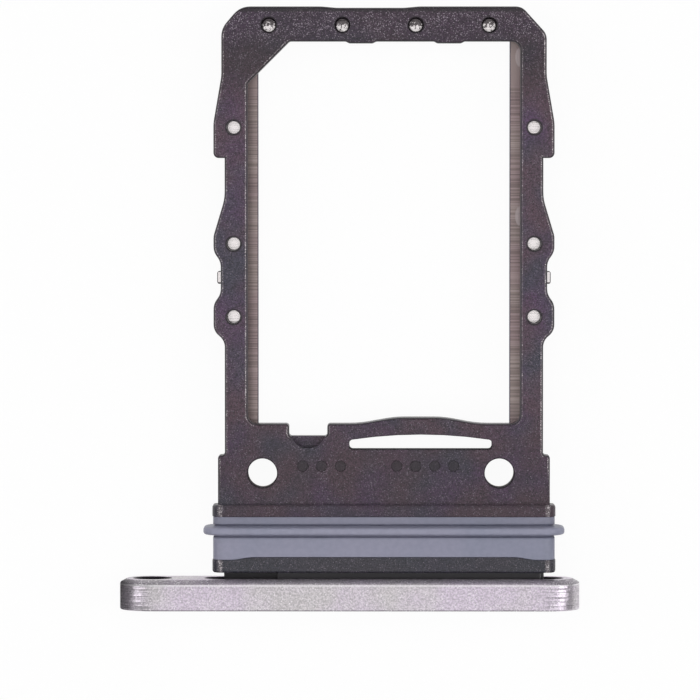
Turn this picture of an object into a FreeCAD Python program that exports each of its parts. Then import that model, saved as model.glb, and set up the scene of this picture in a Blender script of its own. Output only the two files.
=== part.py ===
# A sim card tray for a phone: a tray moulded over a stamped steel frame, with a sealing ring and an end cap.
# Millimetres. X runs along the cap, +Y points into the phone, +Z is the side on which the card is laid in.
# The origin is the middle of the cap's outer face.
import FreeCAD
import Part
import math
import os

V = FreeCAD.Vector

# The card that the tray carries
CARD_WIDTH = 8.80
CARD_LENGTH = 12.30
CARD_THICKNESS = 0.67

# Card pocket
POCKET_SIDE_CLEARANCE = 0.05
POCKET_LENGTH_CLEARANCE = 0.18
POCKET_DEPTH_CLEARANCE = 0.03
POCKET_CORNER_CUT = 1.37
POCKET_CORNER_ROUND = 0.30
POCKET_CUT_ROUND = 0.14
GRIP_BUMP_HEIGHT = 0.06
GRIP_BUMP_WIDTH = 0.76
GRIP_BUMP_RAMP = 0.12
GRIP_BUMP_PLACES = (-0.75, 2.13)

# Moulded frame: how far each stretch stands out beyond the one named
RAIL_WALL = 0.75
LAND_BEYOND_RAIL = 0.365
NOTCH_BEYOND_RAIL = 0.13
HEAD_BEYOND_RAIL = 0.105
BASE_BEYOND_RAIL = 0.225
BLOCK_BEYOND_BASE = 0.185
END_BAR_WIDTH = 1.14
SHOULDER_TO_POCKET = 1.03
SHOULDER_ROUND = 0.10
BASE_LENGTH = 1.62
FRAME_EDGE_BEVEL = 0.09

# Sealing block and the silicone ring round it
BLOCK_LENGTH = 2.21
BLOCK_RISE = 0.25
BLOCK_CORNER = 0.35
BLOCK_EDGE_BEVEL = 0.05
SEAL_GROOVE_DEPTH = 0.22
SEAL_SIDE_SETBACK = 0.025
SEAL_FACE_RISE = 0.03
SEAL_FROM_BLOCK_FACE = 0.38
SEAL_LENGTH = 1.315
SEAL_EAR_DEPTH = 0.09
SEAL_EAR_WIDTH = 0.575
SEAL_EAR_SLOPE = 0.80
SEAL_EAR_BEND = 0.80
LIP_REACH = 0.32
LIP_THICKNESS = 0.28
LIP_FROM_SEAL_EDGE = 0.32
LIP_NOSE_ROUND = 0.12

# Tenon that the cap is bonded to
TENON_SIDE_SETBACK = 0.375
TENON_FACE_SETBACK = 0.28
TENON_CORNER = 0.20
TENON_STEP_LENGTH = 1.75
TENON_STEP_DROP = 0.30
TENON_CLEARANCE = 0.08
BOND_THICKNESS = 0.06

# End cap
CAP_THICKNESS = 1.02
CAP_LEFT_OVERHANG = 3.035
CAP_RIGHT_OVERHANG = 0.795
CAP_BEYOND_LIP = 0.01
CAP_TO_BLOCK_GAP = 0.21
CAP_FRONT_ROUND = 0.05
CAP_BACK_BEVEL_ALONG = 0.13
CAP_BACK_BEVEL_INWARD = 0.24
CAP_POCKET_DEPTH = 0.60
CAP_POCKET_END_ROOM = 0.65
EJECT_HOLE_DIAMETER = 1.13
EJECT_HOLE_FLARE = 0.09

# Finger notch and thumb scoop at the near end of the pocket
FINGER_NOTCH_FROM_SIDE = 1.35
FINGER_NOTCH_WIDTH = 1.25
FINGER_NOTCH_DEPTH = 0.41
FINGER_NOTCH_ROUND = 0.10
SCOOP_RADIUS = 0.58
SCOOP_BEYOND_NOTCH = 0.39
SCOOP_DEPTH = 0.35

# Spring leaf that holds the card, between the finger notch and the pocket's right side, and the slot behind it
LEAF_FROM_SIDE = 1.39
LEAF_RIGHT_RAMP = 1.10
LEAF_FROM_NOTCH = 1.05
LEAF_LEFT_RAMP = 1.17
LEAF_CREST_RISE = 0.205
LEAF_BEND = 3.50
LEAF_END_WIDTH = 0.53
SLOT_FROM_SIDE = 0.92
SLOT_LENGTH = 4.66
SLOT_END_HEIGHT = 0.31
SLOT_ARCH_RISE = 0.18
SLOT_END_ROUND = 0.12

# Round windows through which the mould's pins hold the steel frame
WINDOW_DIAMETER = 0.45
END_WINDOW_DIAMETER = 0.50
WINDOW_FROM_RAIL_SIDE = 0.29
LOWER_WINDOW_FROM_POCKET_NEAR = 3.49
MIDDLE_WINDOW_FROM_LOWER = 2.39
UPPER_WINDOW_FROM_POCKET_FAR = 2.80
END_WINDOW_PITCH = 2.40
END_WINDOW_COUNT = 4
END_WINDOW_SHIFT = -0.16
END_WINDOW_INSET = 0.605

# Guide lands on the rails, each measured from its own window
LOWER_LAND_BELOW = 0.47
LOWER_LAND_ABOVE = 0.44
LOWER_LAND_RAMP = 0.29
LOWER_NOTCH_RAMP = 0.30
UPPER_NOTCH_RAMP = 0.30
MIDDLE_LAND_BELOW = 0.27
MIDDLE_LAND_ABOVE = 0.26
MIDDLE_LAND_RAMP = 1.22
UPPER_LAND_BELOW = 1.00
UPPER_LAND_ABOVE = 0.15
UPPER_LAND_RAMP = 1.52
LAND_ROUND = 0.55
LAND_STEP_ROUND = 0.21
RAMP_BEND = 1.50

# Free end
LEFT_CORNER_ACROSS = 0.615
LEFT_CORNER_ALONG = 0.72
LEFT_CORNER_ROUND = 0.70
RIGHT_CORNER_ACROSS = 0.815
RIGHT_CORNER_ALONG = 0.90
RIGHT_CORNER_ROUND = 0.45
END_RELIEF_LEFT = -1.55
END_RELIEF_RIGHT = 0.65
END_RELIEF_DEPTH = 0.045
END_RELIEF_RAMP = 0.50

# Holes that locate the tray in a jig
JIG_HOLE_DIAMETER = 0.955
JIG_HOLE_INSET = 1.555
JIG_HOLE_SHIFT = -0.10
JIG_HOLE_FROM_BLOCK = 1.04

# Shallow cavity dots on the base, in two groups
DOT_DIAMETER = 0.34
DOT_DEPTH = 0.04
DOT_PITCH = 0.62
LEFT_DOT_COUNT = 3
LEFT_DOT_FIRST = -2.66
RIGHT_DOT_COUNT = 4
RIGHT_DOT_FIRST = 0.42
DOT_FROM_BLOCK = 1.27

# Stamped steel frame, flush with the underside
STEEL_THICKNESS = 0.20
LEDGE_WIDTH = 0.34
STEEL_RAIL_COVER = 0.15
STEEL_EAR_COVER = 0.24
STEEL_EAR_MARGIN = 0.15
STEEL_END_COVER = 0.18
STEEL_END_CORNER = 0.95
STEEL_POCKET_COVER = 0.17
STEEL_NEAR_COVER = 0.22
STEEL_SLOT_COVER = 0.14
STEEL_CORNER_ROUND = 0.20
STUB_WIDTH = 0.42
STUB_REACH = 0.13
STUB_CORNER = 0.07

# Punched slots in the steel with a wider foot, which the plastic fills, so that the sheet can't drop out
ANCHOR_WIDTH = 0.26
ANCHOR_LENGTH = 0.50
ANCHOR_FOOT_BEYOND = 0.06
ANCHOR_FOOT_DEPTH = 0.08
BASE_ANCHOR_PLACES = (-1.70, 1.70)

# Widths, worked out from the card outwards
POCKET_WIDTH = CARD_WIDTH + 2 * POCKET_SIDE_CLEARANCE
RAIL_WIDTH = POCKET_WIDTH + 2 * RAIL_WALL
LAND_WIDTH = RAIL_WIDTH + 2 * LAND_BEYOND_RAIL
NOTCH_WIDTH = RAIL_WIDTH + 2 * NOTCH_BEYOND_RAIL
HEAD_WIDTH = RAIL_WIDTH + 2 * HEAD_BEYOND_RAIL
BASE_WIDTH = RAIL_WIDTH + 2 * BASE_BEYOND_RAIL
BLOCK_WIDTH = BASE_WIDTH + 2 * BLOCK_BEYOND_BASE
SEAL_WIDTH = BLOCK_WIDTH - 2 * SEAL_SIDE_SETBACK
TENON_WIDTH = BLOCK_WIDTH - 2 * TENON_SIDE_SETBACK
CAP_POCKET_LENGTH = TENON_WIDTH + 2 * CAP_POCKET_END_ROOM
CAP_LENGTH = BLOCK_WIDTH + CAP_LEFT_OVERHANG + CAP_RIGHT_OVERHANG
TRAY_OFFSET = (CAP_LEFT_OVERHANG - CAP_RIGHT_OVERHANG) / 2

# Heights, about the middle of the frame's thickness
FRAME_THICKNESS = CARD_THICKNESS + POCKET_DEPTH_CLEARANCE + STEEL_THICKNESS
FRAME_TOP = FRAME_THICKNESS / 2
FRAME_FOOT = -FRAME_THICKNESS / 2
STEEL_TOP = FRAME_FOOT + STEEL_THICKNESS
BLOCK_HEIGHT = FRAME_THICKNESS + 2 * BLOCK_RISE
SEAL_HEIGHT = BLOCK_HEIGHT + 2 * SEAL_FACE_RISE
CAP_HEIGHT = SEAL_HEIGHT + 2 * (LIP_REACH + CAP_BEYOND_LIP)
TENON_HEIGHT = BLOCK_HEIGHT - 2 * TENON_FACE_SETBACK
CAP_POCKET_HEIGHT = TENON_HEIGHT + 2 * TENON_CLEARANCE

# Places along Y, from the cap's outer face to the free end
CAP_POCKET_FLOOR = CAP_THICKNESS - CAP_POCKET_DEPTH
TENON_END = CAP_POCKET_FLOOR + BOND_THICKNESS
BLOCK_NEAR = CAP_THICKNESS + CAP_TO_BLOCK_GAP
BLOCK_FAR = BLOCK_NEAR + BLOCK_LENGTH
SEAL_FAR = BLOCK_FAR - SEAL_FROM_BLOCK_FACE
SEAL_NEAR = SEAL_FAR - SEAL_LENGTH
LIP_FAR = SEAL_FAR - LIP_FROM_SEAL_EDGE
LIP_NEAR = LIP_FAR - LIP_THICKNESS
SHOULDER = BLOCK_FAR + BASE_LENGTH
POCKET_NEAR = SHOULDER + SHOULDER_TO_POCKET
POCKET_FAR = POCKET_NEAR + CARD_LENGTH + POCKET_LENGTH_CLEARANCE
FREE_END = POCKET_FAR + END_BAR_WIDTH
SLOT_NEAR = POCKET_NEAR - LEAF_END_WIDTH - SLOT_END_HEIGHT
LOWER_WINDOW = POCKET_NEAR + LOWER_WINDOW_FROM_POCKET_NEAR
MIDDLE_WINDOW = LOWER_WINDOW + MIDDLE_WINDOW_FROM_LOWER
UPPER_WINDOW = POCKET_FAR - UPPER_WINDOW_FROM_POCKET_FAR
END_WINDOW_ROW = FREE_END - END_WINDOW_INSET
NOTCH_LOW = LOWER_WINDOW + LOWER_LAND_ABOVE + LOWER_NOTCH_RAMP
NOTCH_HIGH = MIDDLE_WINDOW - MIDDLE_LAND_BELOW - UPPER_NOTCH_RAMP
JIG_HOLE_ROW = BLOCK_FAR + JIG_HOLE_FROM_BLOCK

# Places along X, from the middle of the tray
JIG_HOLE_PLACES = [JIG_HOLE_SHIFT + side * (BASE_WIDTH / 2 - JIG_HOLE_INSET) for side in (-1, 1)]
END_WINDOW_PLACES = [
    END_WINDOW_SHIFT + (i - (END_WINDOW_COUNT - 1) / 2) * END_WINDOW_PITCH
    for i in range(END_WINDOW_COUNT)
]

# How the shapes are made
CORNER_SHARE = 0.48
CUT_MARGIN = 0.5
SAME_PLACE = 1e-4


def rounded_wire(corners):
    """Closed flat wire through (x, y, radius) corners, each rounded as far as its sides have room."""
    points = [V(x, y, 0) for x, y, _ in corners]
    arcs = []
    for i, point in enumerate(points):
        back = points[i - 1] - point
        ahead = points[(i + 1) % len(points)] - point
        half_turn = (math.pi - back.getAngle(ahead)) / 2
        room = CORNER_SHARE * min(back.Length, ahead.Length)
        reach = min(corners[i][2] * math.tan(half_turn), room)
        radius = reach / math.tan(half_turn)
        back.normalize()
        ahead.normalize()
        inward = back + ahead
        inward.normalize()
        middle = point + inward * (radius / math.cos(half_turn) - radius)
        arcs.append((point + back * reach, middle, point + ahead * reach))
    edges = []
    for i, (start, middle, end) in enumerate(arcs):
        if (end - start).Length > SAME_PLACE:
            edges.append(Part.Arc(start, middle, end).toShape())
        following = arcs[(i + 1) % len(arcs)][0]
        if (following - end).Length > SAME_PLACE:
            edges.append(Part.LineSegment(end, following).toShape())
    return Part.Wire(edges)


def prism(wire, low, high):
    """The wire's area, raised from one height to another."""
    base = Part.Face(wire)
    base.translate(V(0, 0, low))
    return base.extrude(V(0, 0, high - low))


def stand_up(shape):
    """Turns a shape drawn flat, with its height along Z, so that its height runs along Y."""
    turned = shape.copy()
    turned.rotate(V(0, 0, 0), V(1, 0, 0), -90)
    return turned


def section_wire(width, height, corner):
    """Rounded rectangle about the origin."""
    x, y = width / 2, height / 2
    return rounded_wire([(x, -y, corner), (x, y, corner), (-x, y, corner), (-x, -y, corner)])


def section_bar(width, height, corner, near, far):
    """Bar along Y with a rounded rectangle as its section."""
    return stand_up(prism(section_wire(width, height, corner), near, far))


def stadium_wire(length, height):
    """Two straight sides and two half-round ends, about the origin."""
    radius = height / 2
    straight = length / 2 - radius
    return Part.Wire([
        Part.LineSegment(V(-straight, -radius, 0), V(straight, -radius, 0)).toShape(),
        Part.Arc(V(straight, -radius, 0), V(straight + radius, 0, 0), V(straight, radius, 0)).toShape(),
        Part.LineSegment(V(straight, radius, 0), V(-straight, radius, 0)).toShape(),
        Part.Arc(V(-straight, radius, 0), V(-straight - radius, 0, 0), V(-straight, -radius, 0)).toShape(),
    ])


def edges_at(shape, axis, value):
    """Edges that lie wholly at one height along an axis."""
    found = []
    for edge in shape.Edges:
        low = getattr(edge.BoundBox, axis + "Min")
        high = getattr(edge.BoundBox, axis + "Max")
        if abs(low - value) < SAME_PLACE and abs(high - value) < SAME_PLACE:
            found.append(edge)
    return found


def drill(diameter, x, y, low, high):
    """Cylinder along Z."""
    return Part.makeCylinder(diameter / 2, high - low, V(x, y, low))


def end_cap():
    """Metal bar that closes the phone's side, with the eject hole and a pocket for the tray's tenon."""
    bevel_start = CAP_THICKNESS - CAP_BACK_BEVEL_ALONG
    bar = prism(stadium_wire(CAP_LENGTH, CAP_HEIGHT), 0, bevel_start)
    bar = bar.makeFillet(CAP_FRONT_ROUND, edges_at(bar, "Z", 0))
    full = stadium_wire(CAP_LENGTH, CAP_HEIGHT)
    full.translate(V(0, 0, bevel_start))
    narrowed = stadium_wire(CAP_LENGTH - 2 * CAP_BACK_BEVEL_INWARD, CAP_HEIGHT - 2 * CAP_BACK_BEVEL_INWARD)
    narrowed.translate(V(0, 0, CAP_THICKNESS))
    bar = bar.fuse(Part.makeLoft([full, narrowed], True, True)).removeSplitter()
    pocket_outline = stadium_wire(CAP_POCKET_LENGTH, CAP_POCKET_HEIGHT)
    pocket = prism(pocket_outline, CAP_POCKET_FLOOR, CAP_THICKNESS + CUT_MARGIN)
    pocket.translate(V(TRAY_OFFSET, 0, 0))
    hole_x = -CAP_LENGTH / 2 + CAP_HEIGHT / 2
    hole = drill(EJECT_HOLE_DIAMETER, hole_x, 0, -CUT_MARGIN, CAP_THICKNESS + CUT_MARGIN)
    hole_radius = EJECT_HOLE_DIAMETER / 2
    flare_base = V(hole_x, 0, CAP_THICKNESS - EJECT_HOLE_FLARE)
    flare = Part.makeCone(hole_radius, hole_radius + EJECT_HOLE_FLARE, EJECT_HOLE_FLARE, flare_base)
    return stand_up(bar.cut([pocket, hole, flare]))


def side_profile():
    """One side of the moulded frame as (half width, y, radius) corners, from the block to the free end."""
    rail, land, notch, head = RAIL_WIDTH / 2, LAND_WIDTH / 2, NOTCH_WIDTH / 2, HEAD_WIDTH / 2
    middle_end = MIDDLE_WINDOW + MIDDLE_LAND_ABOVE
    upper_end = UPPER_WINDOW + UPPER_LAND_ABOVE
    return [
        (BASE_WIDTH / 2, SEAL_FAR, 0),
        (BASE_WIDTH / 2, SHOULDER, SHOULDER_ROUND),
        (rail, SHOULDER, SHOULDER_ROUND),
        (rail, LOWER_WINDOW - LOWER_LAND_BELOW - LOWER_LAND_RAMP, LAND_ROUND),
        (land, LOWER_WINDOW - LOWER_LAND_BELOW, LAND_ROUND),
        (land, LOWER_WINDOW + LOWER_LAND_ABOVE, LAND_ROUND),
        (notch, NOTCH_LOW, LAND_ROUND),
        (notch, NOTCH_HIGH, LAND_ROUND),
        (land, MIDDLE_WINDOW - MIDDLE_LAND_BELOW, LAND_ROUND),
        (land, middle_end, LAND_ROUND),
        (rail, middle_end + MIDDLE_LAND_RAMP, RAMP_BEND),
        (rail, UPPER_WINDOW - UPPER_LAND_BELOW, 0),
        (land, UPPER_WINDOW - UPPER_LAND_BELOW, LAND_STEP_ROUND),
        (land, upper_end, RAMP_BEND),
        (head, upper_end + UPPER_LAND_RAMP, RAMP_BEND),
    ]


def frame_outline():
    """Outer edge of the moulded frame, seen from above."""
    right = side_profile()
    left = [(-x, y, radius) for x, y, radius in reversed(right)]
    head = HEAD_WIDTH / 2
    relief = FREE_END - END_RELIEF_DEPTH
    end = [
        (head, FREE_END - RIGHT_CORNER_ALONG, RIGHT_CORNER_ROUND),
        (head - RIGHT_CORNER_ACROSS, FREE_END, RIGHT_CORNER_ROUND),
        (END_RELIEF_RIGHT + END_RELIEF_RAMP, FREE_END, RAMP_BEND),
        (END_RELIEF_RIGHT, relief, RAMP_BEND),
        (END_RELIEF_LEFT, relief, RAMP_BEND),
        (END_RELIEF_LEFT - END_RELIEF_RAMP, FREE_END, RAMP_BEND),
        (LEFT_CORNER_ACROSS - head, FREE_END, LEFT_CORNER_ROUND),
        (-head, FREE_END - LEFT_CORNER_ALONG, LEFT_CORNER_ROUND),
    ]
    return rounded_wire(right + end + left)


def card_pocket_outline():
    """Opening for the card: finger notch and leaf near the cap, grip bumps at the far edge, a cut corner."""
    half = POCKET_WIDTH / 2
    notch_left = FINGER_NOTCH_FROM_SIDE - half
    notch_right = notch_left + FINGER_NOTCH_WIDTH
    notch_floor = POCKET_NEAR - FINGER_NOTCH_DEPTH
    leaf_left = notch_right + LEAF_FROM_NOTCH
    leaf_right = half - LEAF_FROM_SIDE
    crest = POCKET_NEAR + LEAF_CREST_RISE
    near = [
        (-half, POCKET_NEAR, POCKET_CORNER_ROUND),
        (notch_left, POCKET_NEAR, FINGER_NOTCH_ROUND),
        (notch_left, notch_floor, FINGER_NOTCH_ROUND),
        (notch_right, notch_floor, FINGER_NOTCH_ROUND),
        (notch_right, POCKET_NEAR, FINGER_NOTCH_ROUND),
        (leaf_left, POCKET_NEAR, LEAF_BEND),
        (leaf_left + LEAF_LEFT_RAMP, crest, LEAF_BEND),
        (leaf_right - LEAF_RIGHT_RAMP, crest, LEAF_BEND),
        (leaf_right, POCKET_NEAR, LEAF_BEND),
        (half, POCKET_NEAR, POCKET_CORNER_ROUND),
    ]
    far = [(half, POCKET_FAR, POCKET_CORNER_ROUND)]
    for place in reversed(GRIP_BUMP_PLACES):
        for side in (1, -1):
            foot = (place + side * (GRIP_BUMP_WIDTH / 2 + GRIP_BUMP_RAMP), POCKET_FAR, GRIP_BUMP_RAMP)
            top = (place + side * GRIP_BUMP_WIDTH / 2, POCKET_FAR - GRIP_BUMP_HEIGHT, GRIP_BUMP_RAMP)
            far += [foot, top] if side == 1 else [top, foot]
    cut = [
        (POCKET_CORNER_CUT - half, POCKET_FAR, POCKET_CUT_ROUND),
        (-half, POCKET_FAR - POCKET_CORNER_CUT, POCKET_CUT_ROUND),
    ]
    return rounded_wire(near + far + cut)


def leaf_slot():
    """Slot behind the spring leaf: straight on the near side, arched on the leaf's side."""
    right = POCKET_WIDTH / 2 - SLOT_FROM_SIDE
    left = right - SLOT_LENGTH
    ends = SLOT_NEAR + SLOT_END_HEIGHT
    near_left, near_right = V(left, SLOT_NEAR, 0), V(right, SLOT_NEAR, 0)
    far_left, far_right = V(left, ends, 0), V(right, ends, 0)
    crown = V((left + right) / 2, ends + SLOT_ARCH_RISE, 0)
    outline = Part.Wire([
        Part.LineSegment(near_left, near_right).toShape(),
        Part.LineSegment(near_right, far_right).toShape(),
        Part.Arc(far_right, crown, far_left).toShape(),
        Part.LineSegment(far_left, near_left).toShape(),
    ])
    slot = prism(outline, FRAME_FOOT - CUT_MARGIN, FRAME_TOP + CUT_MARGIN)
    upright = [edge for edge in slot.Edges if edge.BoundBox.ZLength > FRAME_THICKNESS]
    return slot.makeFillet(SLOT_END_ROUND, upright)


def thumb_scoop():
    """Round dip beside the finger notch, from which the card is pushed up."""
    x = -POCKET_WIDTH / 2 + FINGER_NOTCH_FROM_SIDE + FINGER_NOTCH_WIDTH / 2
    y = POCKET_NEAR - FINGER_NOTCH_DEPTH - SCOOP_BEYOND_NOTCH + SCOOP_RADIUS
    return drill(2 * SCOOP_RADIUS, x, y, FRAME_TOP - SCOOP_DEPTH, FRAME_TOP + CUT_MARGIN)


def window_drills():
    """Round windows in the plastic, down to the steel."""
    rail_x = RAIL_WIDTH / 2 - WINDOW_FROM_RAIL_SIDE
    rows = (LOWER_WINDOW, MIDDLE_WINDOW, UPPER_WINDOW)
    places = [(WINDOW_DIAMETER, side * rail_x, row) for row in rows for side in (-1, 1)]
    places += [(END_WINDOW_DIAMETER, x, END_WINDOW_ROW) for x in END_WINDOW_PLACES]
    return [drill(size, x, y, STEEL_TOP, FRAME_TOP + CUT_MARGIN) for size, x, y in places]


def jig_drills():
    """Two round holes through plastic and steel alike."""
    low, high = FRAME_FOOT - CUT_MARGIN, FRAME_TOP + CUT_MARGIN
    return [drill(JIG_HOLE_DIAMETER, x, JIG_HOLE_ROW, low, high) for x in JIG_HOLE_PLACES]


def cavity_dots():
    """Two short rows of shallow dots between the jig holes."""
    places = [LEFT_DOT_FIRST + i * DOT_PITCH for i in range(LEFT_DOT_COUNT)]
    places += [RIGHT_DOT_FIRST + i * DOT_PITCH for i in range(RIGHT_DOT_COUNT)]
    y = BLOCK_FAR + DOT_FROM_BLOCK
    return [drill(DOT_DIAMETER, x, y, FRAME_TOP - DOT_DEPTH, FRAME_TOP + CUT_MARGIN) for x in places]


def moulded_frame():
    """The flat open part of the tray, with its long edges broken."""
    plate = prism(frame_outline(), FRAME_FOOT, FRAME_TOP)
    plate = plate.cut(prism(card_pocket_outline(), FRAME_FOOT - CUT_MARGIN, FRAME_TOP + CUT_MARGIN))
    rims = edges_at(plate, "Z", FRAME_TOP) + edges_at(plate, "Z", FRAME_FOOT)
    plate = plate.makeChamfer(FRAME_EDGE_BEVEL, rims)
    return plate.cut([leaf_slot(), thumb_scoop()] + jig_drills() + window_drills() + cavity_dots())


def seal_band_blank():
    """Everything between the two edges of the seal band, which widens a little at both ends."""
    out = BLOCK_WIDTH / 2 + CUT_MARGIN
    ear = SEAL_NEAR - SEAL_EAR_DEPTH
    ear_x = BLOCK_WIDTH / 2 - SEAL_EAR_WIDTH
    slope_x = ear_x - SEAL_EAR_SLOPE
    outline = rounded_wire([
        (-out, ear, 0),
        (-ear_x, ear, SEAL_EAR_BEND),
        (-slope_x, SEAL_NEAR, SEAL_EAR_BEND),
        (slope_x, SEAL_NEAR, SEAL_EAR_BEND),
        (ear_x, ear, SEAL_EAR_BEND),
        (out, ear, 0),
        (out, SEAL_FAR, 0),
        (-out, SEAL_FAR, 0),
    ])
    return prism(outline, -BLOCK_HEIGHT / 2 - CUT_MARGIN, BLOCK_HEIGHT / 2 + CUT_MARGIN)


def seal_core():
    """The part of the block that is left inside the seal groove."""
    width = BLOCK_WIDTH - 2 * SEAL_GROOVE_DEPTH
    height = BLOCK_HEIGHT - 2 * SEAL_GROOVE_DEPTH
    corner = BLOCK_CORNER - SEAL_GROOVE_DEPTH
    return section_bar(width, height, corner, BLOCK_NEAR - CUT_MARGIN, BLOCK_FAR + CUT_MARGIN)


def sealing_block():
    """Thick block that carries the seal in a groove."""
    block = section_bar(BLOCK_WIDTH, BLOCK_HEIGHT, BLOCK_CORNER, BLOCK_NEAR, BLOCK_FAR)
    rims = edges_at(block, "Y", BLOCK_NEAR) + edges_at(block, "Y", BLOCK_FAR)
    block = block.makeChamfer(BLOCK_EDGE_BEVEL, rims)
    return block.cut(seal_band_blank().cut(seal_core()))


def tenon():
    """Tongue that enters the cap's pocket, lower for a short way at one end."""
    tongue = section_bar(TENON_WIDTH, TENON_HEIGHT, TENON_CORNER, TENON_END, SEAL_NEAR - SEAL_EAR_DEPTH)
    step = Part.makeBox(
        TENON_STEP_LENGTH, BLOCK_NEAR - TENON_END, TENON_STEP_DROP,
        V(-TENON_WIDTH / 2, TENON_END, TENON_HEIGHT / 2 - TENON_STEP_DROP),
    )
    return tongue.cut(step)


def steel_side():
    """One side of the steel frame as (half width, y, radius) corners, with an ear under each window."""
    rail = RAIL_WIDTH / 2 - STEEL_RAIL_COVER
    ear = LAND_WIDTH / 2 - STEEL_EAR_COVER
    stub = NOTCH_WIDTH / 2 + STUB_REACH
    ear_half = WINDOW_DIAMETER / 2 + STEEL_EAR_MARGIN
    stub_middle = (NOTCH_LOW + NOTCH_HIGH) / 2
    rows = (LOWER_WINDOW, MIDDLE_WINDOW, UPPER_WINDOW)
    steps = [(row - ear_half, row + ear_half, ear, 0) for row in rows]
    steps.insert(1, (stub_middle - STUB_WIDTH / 2, stub_middle + STUB_WIDTH / 2, stub, STUB_CORNER))
    corners = [(rail, BLOCK_FAR + STEEL_NEAR_COVER, STEEL_CORNER_ROUND)]
    for start, end, reach, radius in steps:
        corners += [
            (rail, start, 0),
            (reach, start, radius),
            (reach, end, radius),
            (rail, end, 0),
        ]
    far = FREE_END - STEEL_END_COVER
    corners += [
        (rail, far - STEEL_END_CORNER, STEEL_CORNER_ROUND),
        (rail - STEEL_END_CORNER, far, STEEL_CORNER_ROUND),
    ]
    return corners


def steel_window_outline():
    """Inner edge of the steel frame: a ledge under each long side of the card, hidden at both ends."""
    half = POCKET_WIDTH / 2 - LEDGE_WIDTH
    near = SLOT_NEAR - STEEL_SLOT_COVER
    far = POCKET_FAR + STEEL_POCKET_COVER
    diagonal = POCKET_FAR + POCKET_WIDTH / 2 - POCKET_CORNER_CUT + STEEL_POCKET_COVER * math.sqrt(2)
    return rounded_wire([
        (-half, near, STEEL_CORNER_ROUND),
        (half, near, STEEL_CORNER_ROUND),
        (half, far, STEEL_CORNER_ROUND),
        (far - diagonal, far, STEEL_CORNER_ROUND),
        (-half, diagonal - half, STEEL_CORNER_ROUND),
    ])


def anchor_punch(x, y, across, along):
    """One slot through the sheet, with a shallow wider step at its foot."""
    step = ANCHOR_FOOT_BEYOND
    stem = Part.makeBox(across, along, FRAME_THICKNESS, V(x - across / 2, y - along / 2, FRAME_FOOT))
    foot_corner = V(x - across / 2 - step, y - along / 2 - step, FRAME_FOOT)
    foot = Part.makeBox(across + 2 * step, along + 2 * step, ANCHOR_FOOT_DEPTH, foot_corner)
    return stem.fuse(foot)


def anchor_punches():
    """Slots along both rails, across the free end and in the base."""
    rail_x = (POCKET_WIDTH / 2 + RAIL_WIDTH / 2 - STEEL_RAIL_COVER) / 2
    rail_rows = (
        (POCKET_NEAR + LOWER_WINDOW) / 2,
        (MIDDLE_WINDOW + UPPER_WINDOW) / 2,
        (UPPER_WINDOW + POCKET_FAR) / 2,
    )
    punches = [
        anchor_punch(side * rail_x, y, ANCHOR_WIDTH, ANCHOR_LENGTH)
        for y in rail_rows for side in (-1, 1)
    ]
    rows = [(x, JIG_HOLE_ROW) for x in BASE_ANCHOR_PLACES]
    rows += [(x + END_WINDOW_PITCH / 2, END_WINDOW_ROW) for x in END_WINDOW_PLACES[:-1]]
    return punches + [anchor_punch(x, y, ANCHOR_LENGTH, ANCHOR_WIDTH) for x, y in rows]


def steel_insert():
    """Stamped frame of thin sheet, with the cut tie bars left as stubs in the side notches."""
    right = steel_side()
    left = [(-x, y, radius) for x, y, radius in reversed(right)]
    sheet = prism(rounded_wire(right + left), FRAME_FOOT, STEEL_TOP)
    sheet = sheet.cut(prism(steel_window_outline(), FRAME_FOOT - CUT_MARGIN, STEEL_TOP + CUT_MARGIN))
    return sheet.cut(jig_drills() + anchor_punches())


def tray_body(steel):
    """Moulded tray in one piece: frame, sealing block and tenon, with the steel's own form left out of it."""
    body = moulded_frame().fuse([sealing_block(), tenon()]).removeSplitter()
    return body.cut(steel)


def sealing_ring():
    """Silicone band in the block's groove, with one rounded lip all the way round."""
    band = section_bar(SEAL_WIDTH, SEAL_HEIGHT, BLOCK_CORNER, BLOCK_NEAR, BLOCK_FAR).common(seal_band_blank())
    lip_width, lip_height = SEAL_WIDTH + 2 * LIP_REACH, SEAL_HEIGHT + 2 * LIP_REACH
    lip = section_bar(lip_width, lip_height, BLOCK_CORNER + LIP_REACH, LIP_NEAR, LIP_FAR)
    lip = lip.makeFillet(LIP_NOSE_ROUND, edges_at(lip, "Y", LIP_NEAR) + edges_at(lip, "Y", LIP_FAR))
    return band.fuse(lip).removeSplitter().cut(seal_core())


def write_parts():
    """Builds every piece, moves the tray to its place against the cap and writes one file each."""
    os.makedirs("parts", exist_ok=True)
    steel = steel_insert()
    pieces = {"tray_body": tray_body(steel), "steel_insert": steel, "sealing_ring": sealing_ring()}
    for shape in pieces.values():
        shape.translate(V(TRAY_OFFSET, 0, 0))
    pieces["end_cap"] = end_cap()
    for name, shape in pieces.items():
        solids = shape.Solids
        print(name, len(solids), "solid", round(shape.Volume, 3), "cubic mm, valid:", shape.isValid())
        solids[0].exportStep("parts/" + name + ".step")


write_parts()
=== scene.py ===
# %% [markdown]
# # A sim card tray, dressed in Blender
#
# The tray is four pieces: a metal end cap, a dark moulded frame, a thin steel sheet that the frame is
# moulded over, and a silicone seal. Their shapes come finished from the CAD frame. This file rounds their
# edges, models the seal anew, gives each piece the surface that its making leaves on it, paints some light
# and shade into those colours, and lights and frames the object as the photograph does. Blender counts in
# metres, so 0.1 * MM stands for a tenth of a millimetre.

# %% Load the frame
import math

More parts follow.
